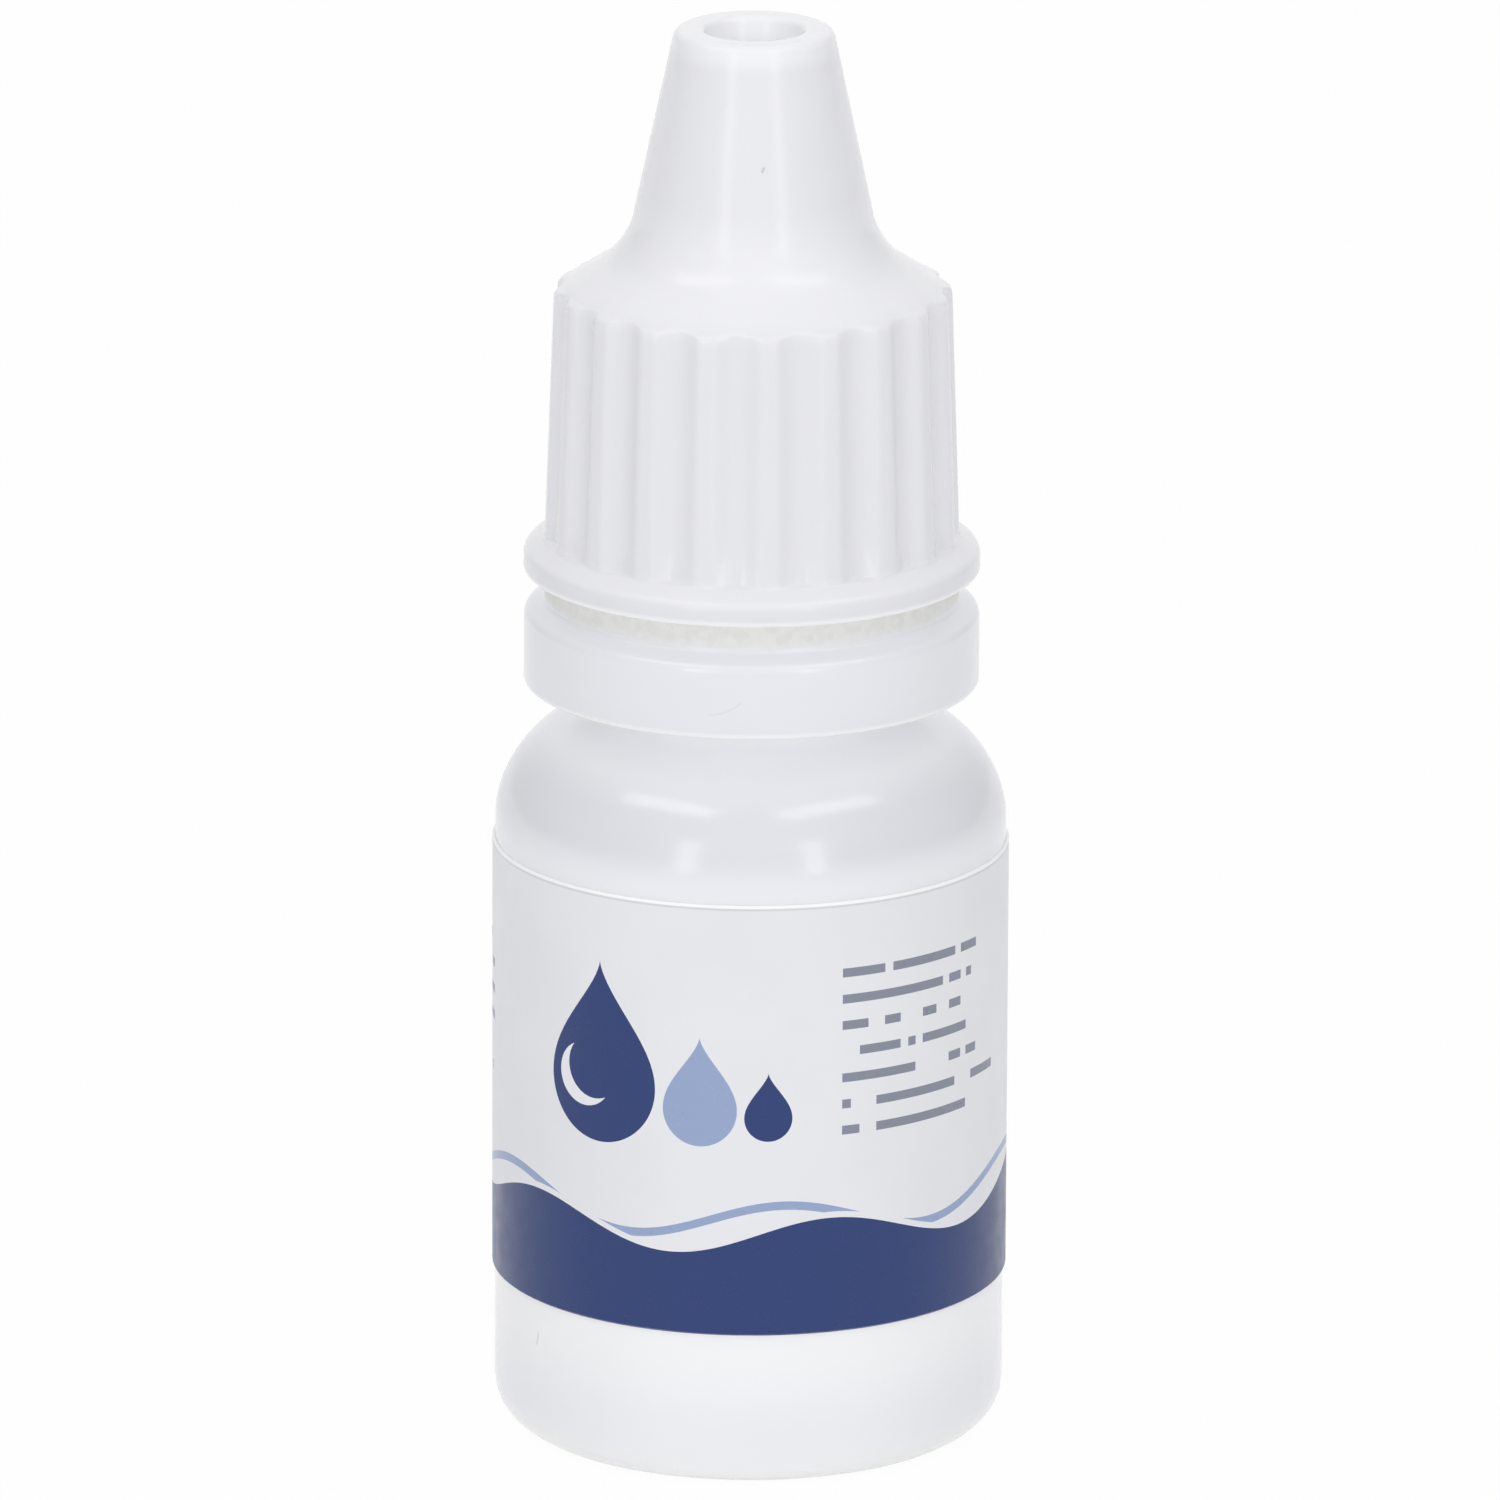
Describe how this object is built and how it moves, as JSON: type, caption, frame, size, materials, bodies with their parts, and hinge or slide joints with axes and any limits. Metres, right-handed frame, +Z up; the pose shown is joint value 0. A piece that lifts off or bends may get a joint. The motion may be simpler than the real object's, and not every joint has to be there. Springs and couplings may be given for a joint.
{
  "type": "eye drop bottle",
  "caption": "Soft plastic dropper bottle with a fluted conical screw cap over its nozzle, a loose tamper ring and a wrap label.",
  "frame": {"origin": "centre of the foot, on the plane that the bottle stands on", "axes": "+Z up along the axis of bottle and cap; -Y is the front of the label, and the bare strip between the label's ends faces +Y"},
  "size_m": [0.0248, 0.0246, 0.069],
  "materials": {
    "bottle_plastic": "satin, milky translucent soft polyethylene",
    "dropper_plastic": "satin, milky translucent soft polyethylene",
    "cap_plastic": "satin white moulded polyethylene",
    "ring_plastic": "satin, slightly translucent bluish white",
    "label_film": "satin white film with dark blue and grey print",
    "liquid": "gloss, clear watery solution"
  },
  "bodies": {
    "bottle": {"bottle": "bottle_plastic", "dropper_plug": "dropper_plastic", "label": "label_film", "liquid": "liquid"},
    "tamper_ring": {"tamper_ring": "ring_plastic"},
    "cap": {"screw_cap": "cap_plastic"}
  },
  "joints": [
    {"name": "cap_turn", "type": "hinge", "parent": "bottle", "child": "tamper_ring", "pos_m": [0, 0, 0.042], "axis": [0, 0, 1], "range_deg": [0, 720]},
    {"name": "cap_lift", "type": "slide", "parent": "tamper_ring", "child": "cap", "axis": [0, 0, 1], "range_m": [0, 0.026]}
  ]
}
